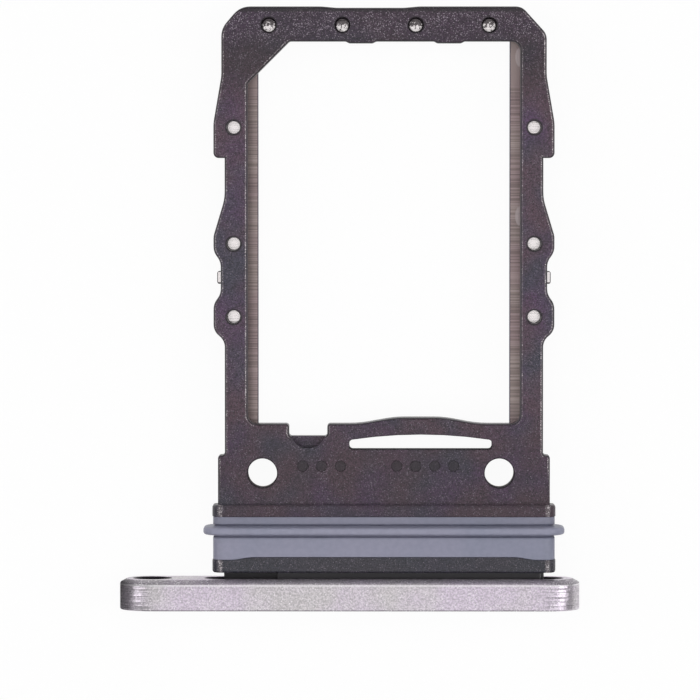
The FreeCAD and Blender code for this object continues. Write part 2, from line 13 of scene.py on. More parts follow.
import bmesh
import bpy
import mathutils
import numpy as np
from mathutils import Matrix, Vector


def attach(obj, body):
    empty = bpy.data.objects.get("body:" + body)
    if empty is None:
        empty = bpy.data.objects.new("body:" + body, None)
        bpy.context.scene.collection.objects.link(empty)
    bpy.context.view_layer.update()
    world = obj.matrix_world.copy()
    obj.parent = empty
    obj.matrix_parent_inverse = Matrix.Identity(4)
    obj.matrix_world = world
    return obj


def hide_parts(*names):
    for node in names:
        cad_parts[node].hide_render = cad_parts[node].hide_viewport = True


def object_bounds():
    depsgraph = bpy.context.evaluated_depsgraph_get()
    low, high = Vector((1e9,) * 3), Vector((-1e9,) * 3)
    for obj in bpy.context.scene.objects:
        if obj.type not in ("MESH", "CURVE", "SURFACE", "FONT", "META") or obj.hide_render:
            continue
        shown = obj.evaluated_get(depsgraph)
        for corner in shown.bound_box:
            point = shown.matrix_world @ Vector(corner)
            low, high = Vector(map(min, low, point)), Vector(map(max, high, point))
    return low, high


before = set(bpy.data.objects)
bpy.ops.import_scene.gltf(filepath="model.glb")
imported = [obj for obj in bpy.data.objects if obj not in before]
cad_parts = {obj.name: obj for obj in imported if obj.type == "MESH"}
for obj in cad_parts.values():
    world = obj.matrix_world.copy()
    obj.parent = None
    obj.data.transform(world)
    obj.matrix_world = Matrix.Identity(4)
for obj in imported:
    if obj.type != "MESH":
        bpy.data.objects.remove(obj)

MM = 0.001
BODY = "root"
cad_box = [list(corner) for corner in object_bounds()]
print("nodes:", sorted(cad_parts))
print("size in mm:", np.round(np.subtract(cad_box[1], cad_box[0]) / MM, 2))

# %% [markdown]
# ## The camera
#
# The photograph looks down on the tray from far above, the free end at the top of the picture. Two things
# give the camera away. A thin strip of the cap's inner face shows over its edge, and the pocket's far wall
# doesn't show at all, so the camera hangs over the free end, a little more than 2 degrees off the vertical.
# It is 188 mm away, and there 700 pixels cover 22.9 mm. Lens and sensor are in that proportion.

# %% Camera
CAMERA_AT = np.array([1.0, 16.0, 188.0]) * MM
LOOKS_AT = np.array([0.01, 8.49, 0.0]) * MM
VIEW_WIDTH = 22.91 * MM
SENSOR = 36.0


def unit(vector):
    """The vector at length 1."""
    return np.asarray(vector, dtype=float) / np.linalg.norm(vector)


backward = unit(CAMERA_AT - LOOKS_AT)
sideways = unit(np.cross([0.0, 1.0, 0.0], backward))
upward = np.cross(backward, sideways)
camera_data = bpy.data.cameras.new("camera")
camera_data.sensor_width = SENSOR
camera_data.lens = SENSOR * np.linalg.norm(CAMERA_AT - LOOKS_AT) / VIEW_WIDTH
camera_data.clip_start, camera_data.clip_end = 1 * MM, 20.0
camera = bpy.data.objects.new("camera", camera_data)
camera.location = CAMERA_AT
camera.rotation_euler = mathutils.Matrix(np.column_stack([sideways, upward, backward]).tolist()).to_euler()
bpy.context.collection.objects.link(camera)
bpy.context.scene.camera = camera
bpy.context.scene.view_settings.view_transform = "Standard"
print("lens", round(camera_data.lens, 1), "mm")

# %% [markdown]
# ## Helpers for nodes
#
# A material is a small tree of nodes. These helpers keep each of them to one line: `put` makes a node, sets
# its options and fills its sockets with values or with links, and the others name the few steps that come
# up again and again, such as blending two colours by a mask.

# %% Node helpers
def put(tree, kind, at, inputs=None, **options):
    """A node of that kind at a place in the tree.

    inputs maps the name or number of a socket to a value or a link. options are the node's own settings.
    """
    node = tree.nodes.new("ShaderNode" + kind)
    node.location = at
    for name, value in options.items():
        setattr(node, name, value)
    for name, value in (inputs or {}).items():
        if isinstance(value, bpy.types.NodeSocket):
            tree.links.new(value, node.inputs[name])
        else:
            node.inputs[name].default_value = value
    return node


def mix(tree, at, mask, low, high, blend="MIX"):
    """The colour low where the mask is 0, turning to high where it is 1."""
    node = put(tree, "Mix", at, {0: mask, 6: low, 7: high}, data_type="RGBA", blend_type=blend)
    return node.outputs[2]


def sums(tree, at, operation, first, second=0.0, third=0.0):
    """One step of arithmetic on values that change over the surface."""
    return put(tree, "Math", at, {0: first, 1: second, 2: third}, operation=operation).outputs[0]


def ramp(tree, at, value, low, high, to_low=0.0, to_high=1.0):
    """The value moved from the range low to high onto to_low to to_high, with soft ends."""
    wires = {"Value": value, "From Min": low, "From Max": high, "To Min": to_low, "To Max": to_high}
    return put(tree, "MapRange", at, wires, interpolation_type="SMOOTHSTEP").outputs[0]


def band(tree, at, value, rise, fall):
    """1 over a band of values. rise and fall are its soft ends, each as (where it is 0, where it is 1)."""
    up = ramp(tree, (at[0] - 200, at[1] + 100), value, *rise)
    down = ramp(tree, (at[0] - 200, at[1] - 100), value, *fall)
    return sums(tree, at, "MULTIPLY", up, down)


# %% Helpers for colours and places
def srgb(red, green, blue):
    """A colour as it is read off a screen, 0 to 255, turned into the linear values that a shader wants."""
    screen = np.array([red, green, blue]) / 255
    linear = np.where(screen <= 0.04045, screen / 12.92, ((screen + 0.055) / 1.055) ** 2.4)
    return (*linear.tolist(), 1.0)


def millimetres(tree, at):
    """Object coordinates counted in millimetres."""
    metres = put(tree, "TexCoord", at).outputs["Object"]
    return put(tree, "Mapping", (at[0] + 180, at[1]), {"Vector": metres, "Scale": (1 / MM,) * 3}).outputs[0]


def axes(tree, at):
    """The same coordinates as three values: along the cap, into the phone, and up."""
    return put(tree, "SeparateXYZ", (at[0] + 360, at[1]), {0: millimetres(tree, at)}).outputs


def new_tree(owner):
    """The owner's empty node tree."""
    owner.use_nodes = True
    owner.node_tree.nodes.clear()
    return owner.node_tree


# %% [markdown]
# ## Effects that several finishes share
#
# Spark erosion leaves a mould, and so the plastic, with tiny craters, and bead blasting does much the same
# to the metal cap. Both sparkle, and the glints are painted into the colour as fine bright flecks that
# gather here and there. One group makes that grain with its painted glints. A second group draws fine
# straight lines, which a cutter leaves along the cap and a punch leaves across the steel. A third lets tones
# drift softly, because no real surface is one even colour. A fourth tells how far a place is from the
# nearest of the ten round windows, for the painted shade round them. Each is built once and placed in the
# materials with its own values.

# %% Node group: blasted grain
def new_group(name, inputs, outputs):
    """An empty shader group with float inputs, given with their values, and float outputs."""
    tree = bpy.data.node_groups.new(name, "ShaderNodeTree")
    for label, value in inputs.items():
        socket = tree.interface.new_socket(label, in_out="INPUT", socket_type="NodeSocketFloat")
        socket.default_value = value
    for label in outputs:
        tree.interface.new_socket(label, in_out="OUTPUT", socket_type="NodeSocketFloat")
    start = tree.nodes.new("NodeGroupInput")
    start.location = (-900, 0)
    end = tree.nodes.new("NodeGroupOutput")
    end.location = (900, 0)
    return tree, start.outputs, end.inputs


grain, given, wanted = new_group("blasted_grain", {"Per mm": 20.0, "Flecks": 0.1}, ["Height", "Fleck"])
place = millimetres(grain, (-900, 300))
coarse = sums(grain, (-600, 500), "MULTIPLY", given["Per mm"], 0.6)
craters = put(grain, "TexNoise", (-400, 300),
              {"Vector": place, "Scale": coarse, "Detail": 2.0, "Roughness": 0.6})
facets = put(grain, "TexVoronoi", (-400, 0), {"Vector": place, "Scale": given["Per mm"]})
swarm = put(grain, "TexNoise", (-400, -300), {"Vector": place, "Scale": 1.8, "Detail": 3.0})
gather = ramp(grain, (-200, -500), swarm.outputs[0], 0.35, 0.65, 0.6, 1.45)
share = sums(grain, (-200, -300), "MULTIPLY", given["Flecks"], gather)
chance = put(grain, "SeparateColor", (-200, 0), {0: facets.outputs["Color"]}).outputs
# A facet gets a painted glint where its random number is in the top share, and most in its middle.
above = sums(grain, (0, -100), "SUBTRACT", sums(grain, (0, 0), "ADD", chance[0], share), 1.0)
glint = sums(grain, (200, -100), "DIVIDE", sums(grain, (100, -300), "MAXIMUM", above, 0.0), share)
core = ramp(grain, (200, -300), facets.outputs["Distance"], 0.75, 0.25)
fleck = sums(grain, (500, 0), "MULTIPLY", sums(grain, (400, 0), "POWER", glint, 1.7), core)
grain.links.new(fleck, wanted["Fleck"])
grain.links.new(craters.outputs[0], wanted["Height"])
print("nodes in the grain:", len(grain.nodes))

# %% Node group: fine lines
lines, given, wanted = new_group("fine_lines", {"Per mm": 20.0, "Length": 12.0}, ["Line"])
place = axes(lines, (-900, 300))
along = put(lines, "CombineXYZ", (-300, 300), {
    0: sums(lines, (-400, 100), "DIVIDE", place[0], given["Length"]),
    1: sums(lines, (-400, 200), "MULTIPLY", place[1], given["Per mm"]),
    2: sums(lines, (-400, 0), "DIVIDE", place[2], given["Length"]),
})
strokes = put(lines, "TexNoise", (0, 300), {"Vector": along.outputs[0], "Scale": 1.0, "Detail": 3.0})
lines.links.new(ramp(lines, (300, 300), strokes.outputs[0], 0.3, 0.7), wanted["Line"])
print("nodes in the lines:", len(lines.nodes))

# %% Node group: soft drift
drift, given, wanted = new_group("soft_drift", {"Per mm": 0.6}, ["Cloud", "Second cloud"])
for label, shift, row in (("Cloud", 0.0, 0), ("Second cloud", 7.0, -300)):
    place = millimetres(drift, (-900, row))
    moved = put(drift, "VectorMath", (-500, row), {0: place, 1: (shift, shift, shift)}, operation="ADD")
    cloud = put(drift, "TexNoise", (-300, row),
                {"Vector": moved.outputs[0], "Scale": given["Per mm"], "Detail": 2.0})
    drift.links.new(ramp(drift, (0, row), cloud.outputs[0], 0.35, 0.65), wanted[label])
print("nodes in the drift:", len(drift.nodes))

# %% Node group: distance from the windows
TRAY_MIDDLE = 1.12
WINDOW_SIDE, WINDOW_ROWS = 4.91, (9.58, 11.97, 15.77)
END_MIDDLE, END_SIDES, END_ROW = 0.96, (1.2, 3.6), 19.105


def folded(tree, at, value, middle):
    """How far the value is from the middle, on either side."""
    return sums(tree, at, "ABSOLUTE", sums(tree, (at[0] - 200, at[1]), "SUBTRACT", value, middle))


def reach(tree, at, first, second, middle):
    """How far the place (first, second) is from the middle."""
    offsets = [sums(tree, (at[0], at[1] - 200 * i), "SUBTRACT", value, middle[i])
               for i, value in enumerate((first, second))]
    flat = put(tree, "CombineXYZ", (at[0] + 200, at[1]), {0: offsets[0], 1: offsets[1]}).outputs[0]
    return put(tree, "VectorMath", (at[0] + 400, at[1]), {0: flat}, operation="LENGTH").outputs["Value"]


windows, given, wanted = new_group("window_distance", {}, ["Distance"])
place = axes(windows, (-1500, 0))
columns = [(folded(windows, (-900, 300), place[0], TRAY_MIDDLE), WINDOW_SIDE, row) for row in WINDOW_ROWS]
columns += [(folded(windows, (-900, -300), place[0], END_MIDDLE), off, END_ROW) for off in END_SIDES]
nearest = 1.0
for step, (aside, off, row) in enumerate(columns):
    one = reach(windows, (-600, 600 - 400 * step), aside, place[1], (off, row))
    nearest = sums(windows, (200 + 100 * step, 600 - 400 * step), "MINIMUM", one, nearest)
windows.links.new(nearest, wanted["Distance"])
print("groups:", [group.name for group in bpy.data.node_groups])

# %% [markdown]
# ## Helpers for materials
#
# Each material has one Principled shader, and what changes over the surface reaches it by three wires: the
# colour, the roughness, and a bump for the finest relief. The place on the piece decides where each tone
# goes. That is safe here, because every piece lies where it lies on the real tray, and it costs no picture
# and no unwrapping.

# %% Helpers for materials
def inside_box(tree, at, place, middle, half):
    """1 where the place is within half of the middle along each of the three axes, else 0."""
    inside = 1.0
    for axis in range(3):
        row = at[1] - 200 * axis
        off = folded(tree, (at[0] - 200, row), place[axis], middle[axis])
        fits = sums(tree, (at[0], row), "LESS_THAN", off, half[axis])
        inside = sums(tree, (at[0] + 200, row), "MULTIPLY", fits, inside)
    return inside


def use(tree, group, at, **values):
    """The outputs of one use of a group. The group's inputs are given as values or as links."""
    inputs = {name.replace("_", " "): value for name, value in values.items()}
    return put(tree, "Group", at, inputs, node_tree=group).outputs


def new_material(name, **fixed):
    """A material with one Principled shader. fixed are the values that are the same all over the surface."""
    material = bpy.data.materials.new(name)
    tree = new_tree(material)
    shader = put(tree, "BsdfPrincipled", (600, 0), fixed)
    put(tree, "OutputMaterial", (900, 0), {"Surface": shader.outputs[0]})
    return material, tree, shader


def finish_surface(tree, shader, tone, roughness, height, strength, depth):
    """The colour, the roughness, and a bump whose height is worth that depth, wired to the shader."""
    tree.links.new(tone, shader.inputs["Base Color"])
    tree.links.new(roughness, shader.inputs["Roughness"])
    bump = put(tree, "Bump", (300, -200), {"Strength": strength, "Distance": depth, "Height": height})
    tree.links.new(bump.outputs[0], shader.inputs["Normal"])
    print("nodes in the material:", len(tree.nodes))


# %% [markdown]
# ## Moulded plastic
#
# The frame is moulded in a dark, glass filled plastic. Most of what the eye takes for its colour is the
# soft shine of the texture, so the colour under it is darker than it looks: a warm purple grey that drifts
# to green grey and to brown. The texture is finest towards the card pocket and coarser at the free end. Its
# glints are painted into the colour as flecks, and painted brighter at the free end. Along the rims a
# painted highlight draws a dotted line on the shoulder of the rounding, on the sides that face left and
# right most, and the lower part of the rounding is painted dark as painted shade. The block's rounded sides
# get a painted highlight too. The walls of the windows and jig holes, the leaf's slot, the dots and the free
# end's edge get the same painted shade, and the tenon in the gap under the cap is painted near black as
# painted shade. The attribute `rim` says how far down the rounding a place is, and `side` says how much it
# faces the lamps. Both are put on the mesh further down.

# %% Material: spark textured plastic, where its parts are
# Places are in millimetres. A box is its middle and half its size. A pair of limits is where a mask is 0 and
# where it is 1.
BLOCK_NEAR, BLOCK_FAR, FREE_END = 1.23, 3.44, 19.71
RIM_HIGH, RIM_LOW = 0.45, 0.36
JIG_MIDDLE, JIG_SIDE, JIG_ROW, DOT_ROW = 1.02, 3.87, 4.48, 4.71
DOTS = (JIG_MIDDLE, DOT_ROW, 0.32), (3.2, 0.25, 0.12)
LEAF_SLOT = (2.33, 5.5, 0.0), (2.5, 0.35, 0.442)
JIG_WALL, WINDOW_WALL = (0.53, 0.49), (0.30, 0.26)
END_WALL = FREE_END - 0.21, FREE_END - 0.13

plastic, tree, shader = new_material("spark_textured_plastic")
place = axes(tree, (-2700, 0))
rim = put(tree, "Attribute", (-2300, 600), attribute_name="rim").outputs["Fac"]
side = put(tree, "Attribute", (-2300, 400), attribute_name="side").outputs["Fac"]
# Painted highlight: a dotted line on the shoulder of each rim, most on the sides that face the lamps.
shoulder = band(tree, (-1900, 600), rim, (0.0, 0.05), (0.42, 0.20))
shoulder = sums(tree, (-1700, 600), "MULTIPLY", shoulder, side)
# Painted shade: this mask darkens the lower part of each rim's rounding, the free end's edge, the window
# walls, the jig holes, the leaf's slot and the dots.
painted_shade = sums(tree, (-1700, 400), "MAXIMUM", ramp(tree, (-1900, 400), rim, 0.25, 0.5),
             ramp(tree, (-1900, 200), place[1], *END_WALL))
by_window = use(tree, windows, (-1900, 900))["Distance"]
painted_shade = sums(tree, (-1500, 600), "MAXIMUM", painted_shade, ramp(tree, (-1700, 900), by_window, *WINDOW_WALL))
off_middle = folded(tree, (-2500, 1200), place[0], JIG_MIDDLE)
by_hole = reach(tree, (-2300, 1200), off_middle, place[1], (JIG_SIDE, JIG_ROW))
slotted = inside_box(tree, (-2500, 1800), place, *LEAF_SLOT)
bored = sums(tree, (-1500, 1200), "MAXIMUM", ramp(tree, (-1700, 1200), by_hole, *JIG_WALL), slotted)
dotted = sums(tree, (-1700, 1500), "MULTIPLY", inside_box(tree, (-2500, 2600), place, *DOTS), 0.8)
sunk = sums(tree, (-1500, 1500), "MAXIMUM", bored, dotted)
painted_shade = sums(tree, (-1300, 600), "MAXIMUM", painted_shade, sunk)

# %% Material: spark textured plastic, where the painted glints go
COARSE = 18.1, 19.2
BLOCK_SIDE = (5.24, 5.32), (5.46, 5.38)

# Painted highlight: a line down the block's rounded sides.
off_middle = folded(tree, (-2100, 0), place[0], TRAY_MIDDLE)
turned = band(tree, (-1700, 0), off_middle, *BLOCK_SIDE)
on_block = sums(tree, (-1700, -200), "LESS_THAN", place[1], BLOCK_FAR)
turned = sums(tree, (-1500, 0), "MULTIPLY", turned, on_block)
painted_glint = sums(tree, (-1500, 400), "MAXIMUM", shoulder, turned)
far = ramp(tree, (-1700, -400), place[1], *COARSE)
# The painted glints are denser at the free end and on the painted highlight.
flecks = ramp(tree, (-1500, -400), far, 0, 1, 0.20, 0.34)
flecks = sums(tree, (-1300, -200), "MULTIPLY_ADD", painted_glint, 0.6, flecks)

# %% Material: spark textured plastic, its colours
# Painted light and shade: the rails are painted lighter than the base, and the free end darker.
NEAR_STRIP, BASE_TO_RAILS, RAILS_TO_END = (2.0, 1.7), (4.5, 8.0), (16.2, 18.0)

clouds = use(tree, drift, (-1100, 300), Per_mm=0.55)
pits = use(tree, grain, (-1100, 0), Per_mm=36.0, Flecks=flecks)
tone = mix(tree, (-700, 300), clouds["Cloud"], srgb(57, 38, 61), srgb(43, 41, 53))
tone = mix(tree, (-500, 300), clouds["Second cloud"], tone, srgb(60, 42, 52))
strip = ramp(tree, (-700, 500), place[1], *NEAR_STRIP, 0.0, 0.8)
tone = mix(tree, (-400, 300), strip, tone, srgb(43, 45, 53))
tone = mix(tree, (-350, 500), sums(tree, (-500, 700), "MULTIPLY", far, 0.6), tone, srgb(60, 40, 62))
shade = ramp(tree, (-700, 0), pits["Height"], 0.3, 0.7, 0.35, 1.65)
painted_light = ramp(tree, (-900, 600), place[1], *BASE_TO_RAILS, 0.78, 1.18)
painted_light = sums(tree, (-700, 600), "MULTIPLY", painted_light, ramp(tree, (-900, 800), place[1], *RAILS_TO_END, 1.0, 0.45))
tone = mix(tree, (-300, 300), 1.0, tone, sums(tree, (-300, 600), "MULTIPLY", shade, painted_light), blend="MULTIPLY")
# The painted highlight lightens the tone; the painted glints' colour is paler at the free end and near white
# on the painted highlight.
tone = mix(tree, (-100, 300), sums(tree, (-100, 600), "MULTIPLY", painted_glint, 0.3), tone, srgb(122, 112, 116))
spark = mix(tree, (-300, 0), far, srgb(116, 106, 118), srgb(170, 158, 171))
spark = mix(tree, (-100, 0), painted_glint, spark, srgb(238, 230, 232))
tone = mix(tree, (100, 300), pits["Fleck"], tone, spark)
tone = mix(tree, (200, 500), sums(tree, (0, 700), "MULTIPLY", painted_shade, 0.8), tone, srgb(20, 14, 20))
# Painted shade: the tenon in the gap between the block and the cap is painted near black.
gap_shade = sums(tree, (100, 800), "LESS_THAN", place[1], BLOCK_NEAR - 0.03)
tone = mix(tree, (400, 300), gap_shade, tone, srgb(14, 10, 17))
rough = ramp(tree, (-500, -200), pits["Height"], 0.3, 0.7, 0.44, 0.32)
rough = sums(tree, (-300, -400), "MULTIPLY_ADD", bored, 0.5, rough)
finish_surface(tree, shader, tone, rough, pits["Height"], 0.6, 0.009 * MM)

# %% [markdown]
# ## Anodised metal
#
# The cap is turned from bar, blasted and anodised: a pale silver with a lilac cast. Where the cutter went
# round the ends it left fine lines along the cap, which the blasting didn't quite take away, and a smoother
# metal. A mask on the distance from the middle brings both in there only. The blasting's glints are painted
# as near white flecks. Along the corner towards the phone a thin bright line is painted highlight, and the
# slope behind it is painted grey as painted shade; the corner round the outer face gets a thin grey line of
# painted shade. The eject hole and the pocket for the tenon are painted dark as painted shade.

# %% Material: anodised metal
CUTTER_ENDS = 6.0, 6.8

metal, tree, shader = new_material("blasted_anodised_metal", Metallic=1.0)
place = axes(tree, (-2300, -600))
clouds = use(tree, drift, (-900, 300), Per_mm=0.5)
blast = use(tree, grain, (-900, 0), Per_mm=27.0, Flecks=0.35)
cut = use(tree, lines, (-900, -300), Per_mm=44.0, Length=2.5)
ends = ramp(tree, (-700, -600), sums(tree, (-900, -600), "ABSOLUTE", place[0]), *CUTTER_ENDS)
tone = mix(tree, (-500, 300), clouds["Cloud"], srgb(212, 207, 210), srgb(217, 206, 220))
shade = ramp(tree, (-500, 0), blast["Height"], 0.3, 0.7, 0.74, 1.16)
tone = mix(tree, (-300, 300), 1.0, tone, shade, blend="MULTIPLY")
streak = sums(tree, (-500, -200), "MULTIPLY", ramp(tree, (-700, -200), cut["Line"], 0.5, 0.8), ends)
tone = mix(tree, (-100, 300), sums(tree, (-300, 100), "MULTIPLY", streak, 0.6), tone, srgb(140, 137, 142))

# %% Material: anodised metal, its corners
BACK_CORNER = (0.79, 0.83), (0.88, 0.84)
BACK_SLOPE = (0.85, 0.89), (1.015, 0.995)
OUTER_CORNER, FLAT_HALF_HEIGHT = (0.045, 0.015), 1.0
BESIDE_BLOCK = 5.2, 5.8

# Painted highlight: a thin bright line along the corner towards the phone. Painted shade: the slope behind
# it, less beside the block.
corner = band(tree, (-300, 500), place[1], *BACK_CORNER)
tone = mix(tree, (0, 500), sums(tree, (-100, 500), "MULTIPLY", corner, 0.6), tone, srgb(250, 248, 250))
slope = band(tree, (-300, 900), place[1], *BACK_SLOPE)
off_middle = folded(tree, (-500, 1300), place[0], TRAY_MIDDLE)
slope_shade = ramp(tree, (-300, 1300), off_middle, *BESIDE_BLOCK, 0.25, 0.62)
tone = mix(tree, (25, 500), sums(tree, (-100, 900), "MULTIPLY", slope, slope_shade), tone, srgb(112, 108, 114))
# Painted shade: a thin grey line along the corner round the outer face.
height_off = sums(tree, (-700, 1700), "ABSOLUTE", place[2])
outer_corner_shade = sums(tree, (-300, 1700), "MULTIPLY", ramp(tree, (-500, 1700), place[1], *OUTER_CORNER),
             sums(tree, (-500, 1900), "GREATER_THAN", height_off, FLAT_HALF_HEIGHT))
tone = mix(tree, (50, 500), outer_corner_shade, tone, srgb(112, 108, 114))
# Painted glints: the blasting's flecks are painted near white.
tone = mix(tree, (100, 300), blast["Fleck"], tone, srgb(250, 246, 250))

# %% Material: anodised metal, painted shade in the hollows
HOLE_X, HOLE_REACH = -6.465, 0.65
POCKET = (TRAY_MIDDLE, 0.55, 0.0), (5.90, 0.45, 0.52)

# Painted shade: the eject hole's bore and the pocket for the tenon are painted near black.
from_axis = reach(tree, (-1700, -800), place[0], place[2], (HOLE_X, 0.0))
bore = sums(tree, (-1100, -800), "LESS_THAN", from_axis, HOLE_REACH)
hollow = inside_box(tree, (-1300, -1200), place, *POCKET)
dark = sums(tree, (-500, -1000), "MAXIMUM", bore, hollow)
tone = mix(tree, (300, 300), dark, tone, srgb(34, 31, 36))
rough = sums(tree, (-300, -100), "MULTIPLY_ADD", ends, -0.16, 0.54)
height = sums(tree, (-300, -300), "MULTIPLY_ADD", streak, 1.2, blast["Height"])
finish_surface(tree, shader, tone, rough, height, 0.6, 0.009 * MM)

# %% [markdown]
# ## Stamped steel
#
# One sheet shows in two ways. At the bottom of the round windows the mould's pins pressed it bright, and
# crumpled it a little at the far end. A dark ring round each bright disc is painted shadow of the window's
# wall, and the far side of the windows at the free end is painted darker as painted shade. The cut ends of
# its tie bars shine in the two notches. On the two ledges and underneath it is dull and a little brown, with
# fine dark lines across and a line of painted shade along the sheared edge. The left ledge is painted darker
# towards its rail as painted shade, and the dull steel right of it a little lighter as painted light. The
# right ledge has two pale half moons where pins touched it. A mask on the place tells bright from dull: the
# windows lie outside the rails' inner sides or beyond the pocket's end.

# %% Material: stamped steel, where its parts are
POCKET_SIDE, POCKET_END = 4.45, 18.57
LEDGE_EDGE, LINES_END = 4.11, 17.1
NOTCH_SIDE, STUB_ROW, UNDER_SIDE = 5.33, 10.87, -0.45
MOON_SIDE, MOON_MIDDLE, MOON_OFF = 5.57, 15.465, 2.60

steel, tree, shader = new_material("bare_stamped_steel", Metallic=1.0)
place = axes(tree, (-1900, -300))
aside = folded(tree, (-1300, -300), place[0], TRAY_MIDDLE)
outside = sums(tree, (-1100, -300), "GREATER_THAN", aside, POCKET_SIDE + 0.15)
beyond = sums(tree, (-1100, -500), "GREATER_THAN", place[1], POCKET_END + 0.1)
upper = sums(tree, (-1100, -100), "GREATER_THAN", place[2], UNDER_SIDE + 0.01)
pressed = sums(tree, (-700, -300), "MULTIPLY", upper, sums(tree, (-900, -300), "MAXIMUM", outside, beyond))
# Painted shade: a dark line along the ledges' sheared free edge, whose rounding isn't modelled.
over_edge = sums(tree, (-1100, 300), "GREATER_THAN", aside, LEDGE_EDGE - 0.03)
edge_shade_line = sums(tree, (-900, 100), "MULTIPLY", over_edge,
                    ramp(tree, (-1100, 100), aside, LEDGE_EDGE + 0.01, LEDGE_EDGE + 0.045, 1.0, 0.0))

# %% Material: stamped steel, rings, stubs and marks
RING, MOON_EDGE = (0.185, 0.22), (0.34, 0.28)

# Painted shadow: a dark ring at the rim of each window's disc, where the window's wall shades it.
ring = ramp(tree, (-1500, -700), use(tree, windows, (-1700, -700))["Distance"], *RING)
stub = sums(tree, (-1300, -900), "GREATER_THAN", aside, NOTCH_SIDE - 0.12)
stub_off = folded(tree, (-1500, -1000), place[1], STUB_ROW)
outline = sums(tree, (-1300, -1100), "MAXIMUM", ramp(tree, (-1500, -1200), stub_off, 0.15, 0.19),
               ramp(tree, (-1500, -1400), aside, NOTCH_SIDE + 0.09, NOTCH_SIDE + 0.12))
# A step across counts twice, so a mark is half as wide as it is long. The rail covers the other half of it.
moon_off = folded(tree, (-1700, -1600), place[1], MOON_MIDDLE)
doubled = sums(tree, (-1900, -1800), "MULTIPLY", place[0], 2.0)
moon = reach(tree, (-1700, -1800), doubled, moon_off, (2 * MOON_SIDE, MOON_OFF))
moon = sums(tree, (-900, -1800), "MULTIPLY", upper, ramp(tree, (-1100, -1800), moon, *MOON_EDGE))

# %% Material: stamped steel, its colours
LEFT_TO_RIGHT = -3.33, -3.05

clouds = use(tree, drift, (-900, 300), Per_mm=0.6)
sheared = use(tree, lines, (-900, 0), Per_mm=24.0, Length=4.0)
tone = mix(tree, (-500, 300), clouds["Cloud"], srgb(149, 132, 133), srgb(154, 141, 138))
# Painted shade and light: the left ledge darker towards its rail, the dull steel right of it lighter.
across = ramp(tree, (-900, 900), place[0], *LEFT_TO_RIGHT, 0.75, 1.15)
lined = sums(tree, (-700, -200), "LESS_THAN", place[1], LINES_END)
stripes = ramp(tree, (-700, 0), sheared["Line"], 0.0, 1.0, -0.28, 0.20)
striped = sums(tree, (-500, 700), "MULTIPLY_ADD", stripes, lined, 1.0)
shade = sums(tree, (-500, 900), "MULTIPLY", across, striped)
tone = mix(tree, (-300, 300), 1.0, tone, shade, blend="MULTIPLY")
tone = mix(tree, (-200, 300), sums(tree, (-300, 500), "MULTIPLY", moon, 0.7), tone, srgb(196, 184, 186))
tone = mix(tree, (-100, 300), edge_shade_line, tone, srgb(84, 82, 98))

# %% Material: stamped steel, what the pins pressed
crumple = put(tree, "TexNoise", (-900, 600),
              {"Vector": millimetres(tree, (-1300, 600)), "Scale": 12.0, "Detail": 3.0})
# Painted shade: the far side of the windows at the free end, with a ragged edge from the crumple noise.
leaning = sums(tree, (-900, 500), "SUBTRACT", place[1], END_ROW)
leaning = sums(tree, (-700, 600), "ADD", leaning, crumple.outputs[0])
far_side_shade = sums(tree, (-300, 600), "MULTIPLY", ramp(tree, (-500, 600), leaning, 0.43, 0.53), beyond)
bright = mix(tree, (-100, 600), far_side_shade, srgb(250, 244, 244), srgb(104, 98, 100))
bright = mix(tree, (0, 800), ring, bright, srgb(34, 28, 34))
stub_tone = mix(tree, (0, 1000), outline, srgb(244, 238, 238), srgb(40, 32, 36))
bright = mix(tree, (50, 600), stub, bright, stub_tone)
tone = mix(tree, (100, 300), pressed, tone, bright)
rough = sums(tree, (-300, -100), "MULTIPLY_ADD", pressed, -0.25, 0.50)
folds = sums(tree, (-300, -300), "MULTIPLY", crumple.outputs[0], beyond)
height = sums(tree, (-100, -300), "MULTIPLY_ADD", folds, 6.0, sheared["Line"])
finish_surface(tree, shader, tone, rough, height, 0.4, 0.005 * MM)

# %% [markdown]
# ## Silicone
#
# The seal is a blue grey silicone, smooth from a polished mould, with a soft broad shine and hardly any
# grain. Its lip is painted a little paler as painted light, and the band beyond the lip a little darker as
# painted shade from the lip.

# %% Material: silicone
LIP_STARTS, LIP_ENDS = (2.42, 2.46), (2.74, 2.80)

rubber, tree, shader = new_material("soft_silicone")
clouds = use(tree, drift, (-900, 300), Per_mm=0.35)
skin = use(tree, grain, (-900, 0), Per_mm=9.0, Flecks=0.02)
tone = mix(tree, (-500, 300), clouds["Cloud"], srgb(126, 128, 146), srgb(132, 132, 150))
shade = ramp(tree, (-500, 0), skin["Height"], 0.3, 0.7, 0.96, 1.04)
along = axes(tree, (-1300, -300))[1]
# Painted light on the lip, and painted shade on the band beyond it.
part = sums(tree, (-300, -500), "MULTIPLY", ramp(tree, (-500, -200), along, *LIP_STARTS, 1.0, 1.07),
            ramp(tree, (-500, -500), along, *LIP_ENDS, 1.0, 0.75))
shade = sums(tree, (-300, 0), "MULTIPLY", shade, part)
tone = mix(tree, (-100, 300), 1.0, tone, shade, blend="MULTIPLY")
rough = ramp(tree, (-300, -200), clouds["Second cloud"], 0.0, 1.0, 0.46, 0.54)
finish_surface(tree, shader, tone, rough, skin["Height"], 0.2, 0.004 * MM)

